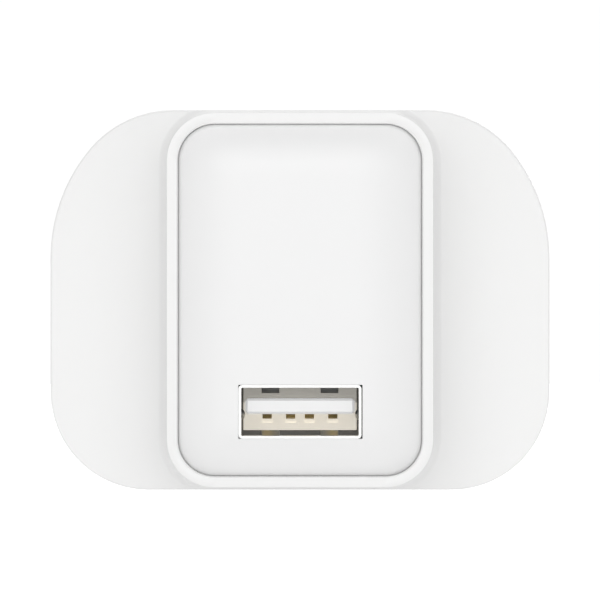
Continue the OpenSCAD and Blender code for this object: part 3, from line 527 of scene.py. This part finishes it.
class CHARGER_OT_panel(bpy.types.Operator):
    """Moulds the pillowed front panel with its rolled edges, its hooks and the port's opening"""
    bl_idname = "charger.panel"
    bl_label = "Front panel"

    def execute(self, context):
        case, port = case_numbers(), port_numbers()
        shell_low, shell_high = box("usb_shell")
        corner = case.block_radius - case.rim - case.panel_gap
        panel = prism("front_panel_moulding", rounded(case.panel_w, case.panel_h, corner),
                      case.pocket, case.panel_front)
        pick(panel, "EDGE", on_plane(1, case.panel_front))
        bevel(case.panel_edge, 5)
        self.add_rings(panel, case, corner)
        self.roll(panel, case, 0, case.panel_w / 2, case.side_roll, case.side_width)
        self.roll(panel, case, 2, case.panel_h / 2, case.end_roll, case.end_width)
        self.add_hooks(panel, case)
        width = shell_high.x - shell_low.x + 2 * port.play + port.side_play
        height = port.height + 2 * (port.sheet + port.play)
        cut(panel, prism("opening", rounded(width, height, 0.06, x=port.side_play / 2, z=port.z, step=15),
                         case.front - 2, case.pocket + 2))
        hand_over(panel, "charger", ["front_panel"], "panel_white")
        return {"FINISHED"}

    def add_rings(self, panel, case, corner):
        """Insets the face ring by ring, then divides its straight sides and its middle into a grid."""
        pick(panel, "FACE", on_plane(1, case.panel_front))
        for thickness in PANEL_RINGS:
            bpy.ops.mesh.inset(thickness=thickness, depth=0.0, use_even_offset=True)
        self.divide(panel, 0, case.panel_w / 2, corner, case.side_width, 8)
        self.divide(panel, 2, case.panel_h / 2, corner, case.end_width, 5)

    def divide(self, panel, axis, half, corner, width, lines):
        """Cuts the panel along straight lines from its corners' centres to where its edge stops rolling."""
        start, stop = half - corner, half - width - 0.5
        for i in range(lines):
            for side in (-1, 1):
                point, normal = [0, 0, 0], [0, 0, 0]
                point[axis], normal[axis] = side * (start + (stop - start) * i / (lines - 1)), 1
                edit(panel)
                bpy.ops.mesh.select_all(action="SELECT")
                bpy.ops.mesh.bisect(plane_co=point, plane_no=normal, threshold=1e-4)

    def roll(self, panel, case, axis, half, radius, width):
        """Moves the face's rows or columns back, more and more towards the edge."""
        edit(panel)
        faces = [v for v in bmesh.from_edit_mesh(panel.data).verts if v.co.y < case.pocket - 0.01]
        places = {round(abs(v.co[axis]), 4) for v in faces}
        for place in sorted(p for p in places if roll_back(p, radius, width, half) > 1e-5):
            pick(panel, "VERT", lambda v: v.co.y < case.pocket - 0.01 and round(abs(v.co[axis]), 4) == place)
            move(y=roll_back(place, radius, width, half))

    def add_hooks(self, panel, case):
        """Four tongues behind the panel that grip the inside of the block."""
        hook_end = box("front_panel")[1].y
        reach = case.block_w / 2 - case.wall - HOOK_GAP
        top = case.block_h / 2 - case.wall - case.block_radius
        for sx in (-1, 1):
            for sz in (-1, 1):
                xs = sorted((sx * reach, sx * (reach - HOOK_THICK)))
                zs = sorted((sz * top, sz * (top - HOOK_LENGTH)))
                hook = slab("hook", (xs[0], case.pocket - HOOK_OVERLAP, zs[0]), (xs[1], hook_end, zs[1]))
                pick(hook, "EDGE", on_plane(1, hook_end))
                bevel(0.25, 3)
                weld(panel, hook)


class CHARGER_OT_base_plate(bpy.types.Operator):
    """Moulds the plate that carries the pins, with its locating lip, posts and rivets"""
    bl_idname = "charger.base_plate"
    bl_label = "Base plate"

    def execute(self, context):
        case, base = case_numbers(), Sizes(context.scene.charger_base)
        wall_face = box("base_plate")[1].y
        line = base.shadow_line
        plate = prism("base_plate_moulding", base_outline(case, base), case.seam + line, wall_face)
        pick(plate, "EDGE", on_plane(1, wall_face))
        bevel(base.plate_edge, 5)
        weld(plate, prism("step", base_outline(case, base, line), case.seam, case.seam + line + HIDDEN_DEPTH))
        self.add_lip(plate, case, base)
        self.add_posts(plate, case)
        for node in ("live_pin_sleeve", "neutral_pin_sleeve", "earth_pin"):
            self.pin_opening(plate, node, case)
        hand_over(plate, "charger", ["base_plate"], "shell_white")
        return {"FINISHED"}

    def add_lip(self, plate, case, base):
        inset, front = case.wall + LIP_PLAY, case.seam - LIP_TALL
        lip = prism("lip", base_outline(case, base, inset), front, case.seam + 0.5)
        cut(lip, prism("room", base_outline(case, base, inset + LIP_THICK), front - 1, case.seam + 1))
        cut(lip, slab("passage", (-LIP_PASSAGE, front - 1, case.base_h / 4),
                      (LIP_PASSAGE, case.seam + 1, case.base_h)))
        weld(plate, lip)

    def add_posts(self, plate, case):
        """Posts that press on the main board, and rivets whose heads hold the clamp plate."""
        board_high, clamp_low = box("main_board")[1], box("pin_retainer")[0]
        pin_z, earth_z = middle("live_pin").z, middle("earth_pin").z
        side, head_top = board_high.x - POST_INSET, clamp_low.y - RIVET_HEAD
        for sx in (-1, 1):
            for z in (clamp_low.z - POST_BELOW_CLAMP, board_high.z - POST_BELOW_TOP):
                weld(plate, rod("post", sx * side, z, POST_RADIUS, board_high.y, case.seam + 0.5))
            for x, z in ((sx * PIN_RIVET_X, pin_z), (sx * EARTH_RIVET_X, earth_z - EARTH_RIVET_DROP)):
                weld(plate, rod("rivet", x, z, RIVET_RADIUS, clamp_low.y - RIVET_GRIP, case.seam + 0.5))
                head = rod("rivet_head", x, z, RIVET_HEAD_RADIUS, head_top, clamp_low.y)
                pick(head, "EDGE", on_plane(1, head_top))
                bevel(0.35, 4)
                weld(plate, head)

    def pin_opening(self, plate, node, case):
        """An opening where a pin passes through."""
        low, high = earth_bar() if node == "earth_pin" else box(node)
        cut(plate, slab("opening", (low.x - PIN_PLAY, case.seam - 3, low.z - PIN_PLAY),
                        (high.x + PIN_PLAY, 1, high.z + PIN_PLAY)))


# ---- Mains pins ----

def tapered_bar(name, low, high, tip, edge):
    """A bar along Y whose far end is extruded into a chamfered tip; its long edges are rounded."""
    bar = slab(name, low, (high[0], high[1] - tip, high[2]))
    pick(bar, "FACE", on_plane(1, high[1] - tip))
    extrude(y=tip)
    wide, tall = high[0] - low[0], high[2] - low[2]
    grow(x=(wide - tip) / wide, z=(tall - tip) / tall)
    edit(bar, "EDGE")
    close_up()
    modify(bar, "BEVEL", width=edge, segments=3, limit_method="ANGLE", angle_limit=radians(15))
    return bar


def grown(low, high, amount):
    """A box's corners moved outwards across X and Z."""
    spread = Vector((amount, 0, amount))
    return low - spread, high + spread


def earth_bar():
    """The earth pin's box without the flange of its head."""
    low, high = box("earth_pin")
    spread = Vector((EARTH_FLANGE[0], 0, EARTH_FLANGE[1]))
    return low + spread, high - spread


class CHARGER_OT_mains_pins(bpy.types.Operator):
    """Turns out the live and neutral pins with their heads, and moulds their insulating sleeves"""
    bl_idname = "charger.mains_pins"
    bl_label = "Mains pins"

    def execute(self, context):
        pins = Sizes(context.scene.charger_pins)
        for side in ("live", "neutral"):
            low, high = box(side + "_pin")
            cover_low, cover_high = box(side + "_pin_sleeve")
            core_low, core_high = grown(cover_low, cover_high, -pins.sleeve_wall)
            pin = tapered_bar(side + "_pin_blade", (cover_low.x, cover_high.y, cover_low.z),
                              (cover_high.x, high.y, cover_high.z), pins.tip, pins.edge)
            weld(pin, slab("core", (core_low.x, low.y + 0.5, core_low.z),
                           (core_high.x, cover_high.y + 0.5, core_high.z)))
            head = slab("head", low, (high.x, cover_low.y, high.z))
            modify(head, "BEVEL", width=0.3, segments=3)
            weld(pin, head)
            hand_over(pin, "charger", [side + "_pin"], "pin_metal")

            sleeve = slab(side + "_sleeve", cover_low, cover_high)
            modify(sleeve, "BEVEL", width=0.14, segments=3)
            cut(sleeve, slab("bore", (core_low.x, cover_low.y - 1, core_low.z),
                             (core_high.x, cover_high.y + 1, core_high.z)))
            hand_over(sleeve, "charger", [side + "_pin_sleeve"], "sleeve_black")
        return {"FINISHED"}


class CHARGER_OT_earth_pin(bpy.types.Operator):
    """Moulds the plastic earth pin, hollow from its inner end"""
    bl_idname = "charger.earth_pin"
    bl_label = "Earth pin"

    def execute(self, context):
        pins = Sizes(context.scene.charger_pins)
        low, high = box("earth_pin")
        pin = tapered_bar("earth_pin_moulding", *earth_bar(), pins.tip, 0.3)
        head = slab("head", low, (high.x, case_numbers().seam, high.z))
        modify(head, "BEVEL", width=0.25, segments=3)
        weld(pin, head)
        centre = (low + high) / 2
        half_w, half_h = EARTH_HOLLOW
        cut(pin, slab("hollow", (centre.x - half_w, low.y - 1, centre.z - half_h),
                      (centre.x + half_w, high.y - EARTH_SOLID_TIP, centre.z + half_h)))
        hand_over(pin, "charger", ["earth_pin"], "earth_pin_white")
        return {"FINISHED"}


# ---- USB port ----

def port_numbers():
    """The port's own sizes, and its frame: the middle of its mouth."""
    port = Sizes(bpy.context.scene.charger_port)
    low, high = box("usb_shell")
    core_low, core_high = box("usb_insulator")
    port.mouth, port.back = low.y, high.y
    port.z = (core_low.z + core_high.z) / 2
    port.width, port.height = core_high.x - core_low.x, core_high.z - core_low.z
    port.tongue_tip = core_low.y
    port.foot = low.z
    return port


class CHARGER_OT_port_shell(bpy.types.Operator):
    """Folds the port's metal shell, with its windows, side dimples and legs"""
    bl_idname = "charger.port_shell"
    bl_label = "Port shell"

    def execute(self, context):
        port = port_numbers()
        outside = rounded(port.width + 2 * port.sheet, port.height + 2 * port.sheet, port.shell_radius,
                          z=port.z, step=9)
        shell = prism("port_shell", outside, port.mouth, port.back)
        cut(shell, prism("bore", rounded(port.width, port.height, port.shell_radius - port.sheet,
                                         z=port.z, step=9), port.mouth - 1, port.back + 1))
        pick(shell, "EDGE", on_plane(1, port.mouth))
        bevel(0.1, 3)
        for node in GRIPS:
            low, high = box(node)
            up = 1 if middle(node).z > port.z else -1
            face = port.z + up * port.height / 2
            window = slab("window", (low.x - 0.3, low.y - 0.3, face - 0.5),
                          (high.x + 0.3, high.y + 0.4, face + 0.5))
            cut(shell, window)
        tails_low, tails_high = box("contact_tails")
        cut(shell, slab("floor_cut", (tails_low.x - 0.45, port.back - 0.8, port.z - port.height / 2 - 0.8),
                        (tails_high.x + 0.45, port.back + 0.5, port.z - port.height / 2 + 0.2)))
        for side in (-1, 1):
            self.add_dimple(shell, port, side)
            self.add_legs(shell, port, side)
        hand_over(shell, "charger", ["usb_shell"], "shell_metal")
        return {"FINISHED"}

    def add_dimple(self, shell, port, side):
        """A bump pressed into the shell's side, which steadies the plug."""
        wall = port.width / 2
        bump = add("dimple", bpy.ops.mesh.primitive_uv_sphere_add, segments=32, ring_count=20, radius=1.0,
                   location=(side * (wall + DIMPLE_SUNK), port.mouth + DIMPLE_BACK, port.z - DIMPLE_DROP))
        bump.scale = DIMPLE_SIZE
        bpy.ops.object.transform_apply(location=True, rotation=False, scale=True)
        keep = wall + port.sheet * 0.5
        edit(bump)
        bpy.ops.mesh.select_all(action="SELECT")
        bpy.ops.mesh.bisect(plane_co=(side * keep, 0, 0), plane_no=(side, 0, 0), use_fill=True,
                            clear_outer=True, threshold=1e-5)
        close_up()
        weld(shell, bump)

    def add_legs(self, shell, port, side):
        xs = sorted((side * (port.width / 2 + port.sheet), side * port.width / 2))
        for y in (port.mouth + place for place in LEG_PLACES):
            leg = slab("leg", (xs[0], y - LEG_HALF_WIDTH, port.foot),
                       (xs[1], y + LEG_HALF_WIDTH, port.z - port.height / 2 + LEG_OVERLAP))
            pick(leg, "FACE", on_plane(2, port.foot))
            grow(y=0.6)
            weld(shell, leg)


class CHARGER_OT_port_insulator(bpy.types.Operator):
    """Moulds the port's plastic core: back wall, tongue and the slots for the contact springs"""
    bl_idname = "charger.port_insulator"
    bl_label = "Port insulator"

    def execute(self, context):
        port = port_numbers()
        tongue_top, tongue_bottom = port.z + TONGUE_ABOVE, port.z - TONGUE_BELOW
        wall_y, ledge = port.mouth + WALL_DEPTH, tongue_top - 0.5
        core = slab("port_insulator", (-port.width / 2 + 0.2, wall_y, port.z - port.height / 2 + 0.55),
                    (port.width / 2 - 0.2, port.back, port.z + port.height / 2))
        edit(core)
        bpy.ops.mesh.select_all(action="SELECT")
        # The cut at ledge marks off the back wall above it, which the tongue shades: those faces get a darker
        # copy of the wall plastic, painted shade with a weaker painted glow.
        bpy.ops.mesh.bisect(plane_co=(0, 0, ledge), plane_no=(0, 0, 1))
        weld(core, prism("flange", rounded(port.width, port.height, port.shell_radius - port.sheet,
                                           z=port.z, step=15), port.back - 0.6, port.back))
        tongue = slab("tongue", (-TONGUE_WIDTH / 2, port.tongue_tip, tongue_bottom),
                      (TONGUE_WIDTH / 2, port.back - 1, tongue_top))
        pick(tongue, "EDGE", lambda e: all(v.co.y < port.back - 2 for v in e.verts)
             or abs(e.verts[0].co.y - e.verts[1].co.y) > 1)
        bevel(port.tongue_edge, 1)
        weld(core, tongue)
        for node in CONTACTS:
            low, high = box(node)
            cut(core, slab("slot", (low.x - 0.08, port.tongue_tip + SLOT_FRONT, tongue_bottom - 1),
                           (high.x + 0.08, wall_y + 0.2, tongue_bottom + SLOT_DEPTH)))
        # A dark grey plastic for the flange's front in the gap below the tongue: painted shade where the deep
        # gap lies in shadow, not the plastic's own colour.
        gap_grey = finish("gap_grey", (0.16, 0.16, 0.16), shade=0.9, rough=(0.5, 0.6), bump=0.002)
        # The back wall behind the tongue gets a cream plastic with a painted glow, in place of the light that
        # comes in through the mouth.
        hand_over(core, "charger", ["usb_insulator"], "tongue_plastic",
                  painted_glow_plastic("wall_cream", (0.97, 0.92, 0.82), 0.5),
                  painted_glow_plastic("wall_shade", (0.9, 0.87, 0.8), 0.24), gap_grey)
        # Slot 1 puts the painted glow on the back wall, slot 2 the darker copy with painted shade above the
        # cut, and slot 3 the dark grey painted shade on the flange's front.
        anywhere = port.foot
        for index, depth, height in ((1, wall_y - 0.01, anywhere), (2, wall_y - 0.01, ledge - 0.02),
                                     (3, port.back - 0.61, anywhere)):
            pick(core, "FACE", lambda f: all(v.co.y / MM > depth and v.co.z / MM > height for v in f.verts))
            core.active_material_index = index
            bpy.ops.object.material_slot_assign()
        object_mode()
        return {"FINISHED"}


class CHARGER_OT_contact_springs(bpy.types.Operator):
    """Bends the four contact springs under the tongue"""
    bl_idname = "charger.contact_springs"
    bl_label = "Contact springs"

    def execute(self, context):
        port = port_numbers()
        tongue_bottom = port.z + port.height / 2 - TONGUE_GAP - TONGUE_THICK
        slot_front = port.tongue_tip + SLOT_FRONT
        for node in CONTACTS:
            low, high = box(node)
            bump_y = slot_front + 2.4
            bump_z = low.z + port.contact / 2
            flat_z = tongue_bottom + 0.35 + port.contact / 2
            line = [(high.y, flat_z), (bump_y + 3.2, flat_z - 0.08), (bump_y + 0.9, bump_z + 0.1),
                    (bump_y + 0.3, bump_z), (bump_y - 0.3, bump_z), (bump_y - 0.9, bump_z + 0.12),
                    (slot_front + 0.25, tongue_bottom + 0.3)]
            spring = strip(node + "_strip", line, middle(node).x, high.x - low.x, port.contact, 0.22, 0.05)
            hand_over(spring, node, [node], "contact_gold")
        return {"FINISHED"}


class CHARGER_OT_grip_springs(bpy.types.Operator):
    """Bends the shell's four grip springs"""
    bl_idname = "charger.grip_springs"
    bl_label = "Grip springs"

    def execute(self, context):
        port = port_numbers()
        for node in GRIPS:
            low, high = box(node)
            up = 1 if middle(node).z > port.z else -1
            root = (port.height + port.sheet) / 2
            deep = abs((low.z if up > 0 else high.z) - port.z) + port.grip / 2
            line = [(low.y, root), (low.y + 0.3, root), (low.y + 2.9, deep + 0.06),
                    (low.y + 3.3, deep), (low.y + 3.7, deep + 0.04), (high.y - 0.02, deep + 0.2)]
            line = [(y, port.z + up * z) for y, z in line]
            spring = strip(node + "_leaf", line, middle(node).x, high.x - low.x, port.grip, 0.2, 0.04)
            hand_over(spring, node, [node], "shell_metal")
        return {"FINISHED"}


# ---- Stage ----

def softbox(name, place, power, size):
    """A square lamp that faces the charger."""
    object_mode()
    bpy.ops.object.light_add(type="AREA", location=place)
    lamp = bpy.context.object
    lamp.name = name
    lamp.data.energy, lamp.data.size = power, size
    lamp.rotation_euler = (-Vector(place)).to_track_quat("-Z", "Y").to_euler()


class CHARGER_OT_stage(bpy.types.Operator):
    """Sets the pale floor, the soft light and the camera straight in front"""
    bl_idname = "charger.stage"
    bl_label = "Stage"

    def execute(self, context):
        scene = context.scene
        floor = add("floor", bpy.ops.mesh.primitive_plane_add, size=FLOOR_SIZE,
                    location=(0, 0, cad_box[0].z - FLOOR_DROP))
        pale = finish("pale_floor", (0.82, 0.82, 0.82), shade=0.98, rough=(0.6, 0.7), size=40.0,
                      Emission_Color=(1, 1, 1, 1))
        seen = pale.node_tree.nodes.new("ShaderNodeLightPath")
        glow = pale.node_tree.nodes.new("ShaderNodeMapRange")
        glow.inputs["To Min"].default_value, glow.inputs["To Max"].default_value = FLOOR_GLOW
        pale.node_tree.links.new(seen.outputs["Is Camera Ray"], glow.inputs["Value"])
        pale.node_tree.links.new(glow.outputs["Result"],
                                 pale.node_tree.nodes["Principled BSDF"].inputs["Emission Strength"])
        floor.data.materials.append(pale)

        world = bpy.data.worlds.new("white_room")
        world.use_nodes = True
        scene.world = world
        tree = world.node_tree
        room = tree.nodes["Background"]
        room.inputs["Color"].default_value = (1, 1, 1, 1)
        room.inputs["Strength"].default_value = ROOM_LIGHT
        seen = tree.nodes.new("ShaderNodeBackground")
        seen.inputs["Color"].default_value = (1, 1, 1, 1)
        seen.inputs["Strength"].default_value = ROOM_SEEN
        path = tree.nodes.new("ShaderNodeLightPath")
        mix = tree.nodes.new("ShaderNodeMixShader")
        tree.links.new(path.outputs["Is Camera Ray"], mix.inputs["Fac"])
        tree.links.new(room.outputs["Background"], mix.inputs[1])
        tree.links.new(seen.outputs["Background"], mix.inputs[2])
        tree.links.new(mix.outputs["Shader"], tree.nodes["World Output"].inputs["Surface"])

        for lamp in LAMPS:
            softbox(*lamp)

        distance = FIELD * LENS / SENSOR
        bpy.ops.object.camera_add(location=(0, cad_box[0].y - distance, 0), rotation=(pi / 2, 0, 0))
        camera = context.object
        camera.data.lens, camera.data.sensor_width = LENS, SENSOR
        camera.data.clip_end = 20.0
        scene.camera = camera
        scene.view_settings.view_transform = "Standard"
        return {"FINISHED"}


OPERATORS = (CHARGER_OT_housing, CHARGER_OT_panel, CHARGER_OT_base_plate, CHARGER_OT_mains_pins,
             CHARGER_OT_earth_pin, CHARGER_OT_port_shell, CHARGER_OT_port_insulator,
             CHARGER_OT_contact_springs, CHARGER_OT_grip_springs, CHARGER_OT_stage)


class CHARGER_PT_panel(bpy.types.Panel):
    """The charger's sizes and its building steps"""
    bl_idname = "CHARGER_PT_panel"
    bl_label = "USB wall charger"
    bl_space_type = "VIEW_3D"
    bl_region_type = "UI"
    bl_category = "Charger"

    def draw(self, context):
        for name, group in GROUPS.items():
            column = self.layout.column(align=True)
            for key in group.__annotations__:
                column.prop(getattr(context.scene, name), key)
        for operator in OPERATORS:
            self.layout.operator(operator.bl_idname)


def register():
    for group in GROUPS.values():
        bpy.utils.register_class(group)
    for name, group in GROUPS.items():
        setattr(bpy.types.Scene, name, bpy.props.PointerProperty(type=group))
    for made in (*OPERATORS, CHARGER_PT_panel):
        bpy.utils.register_class(made)


def unregister():
    for made in (CHARGER_PT_panel, *reversed(OPERATORS)):
        bpy.utils.unregister_class(made)
    for name in GROUPS:
        delattr(bpy.types.Scene, name)
    for group in reversed(list(GROUPS.values())):
        bpy.utils.unregister_class(group)


def main():
    register()
    bpy.ops.charger.housing()
    bpy.ops.charger.panel()
    bpy.ops.charger.base_plate()
    bpy.ops.charger.mains_pins()
    bpy.ops.charger.earth_pin()
    bpy.ops.charger.port_shell()
    bpy.ops.charger.port_insulator()
    bpy.ops.charger.contact_springs()
    bpy.ops.charger.grip_springs()
    bpy.ops.charger.stage()
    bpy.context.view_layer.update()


if __name__ == "__main__":
    main()
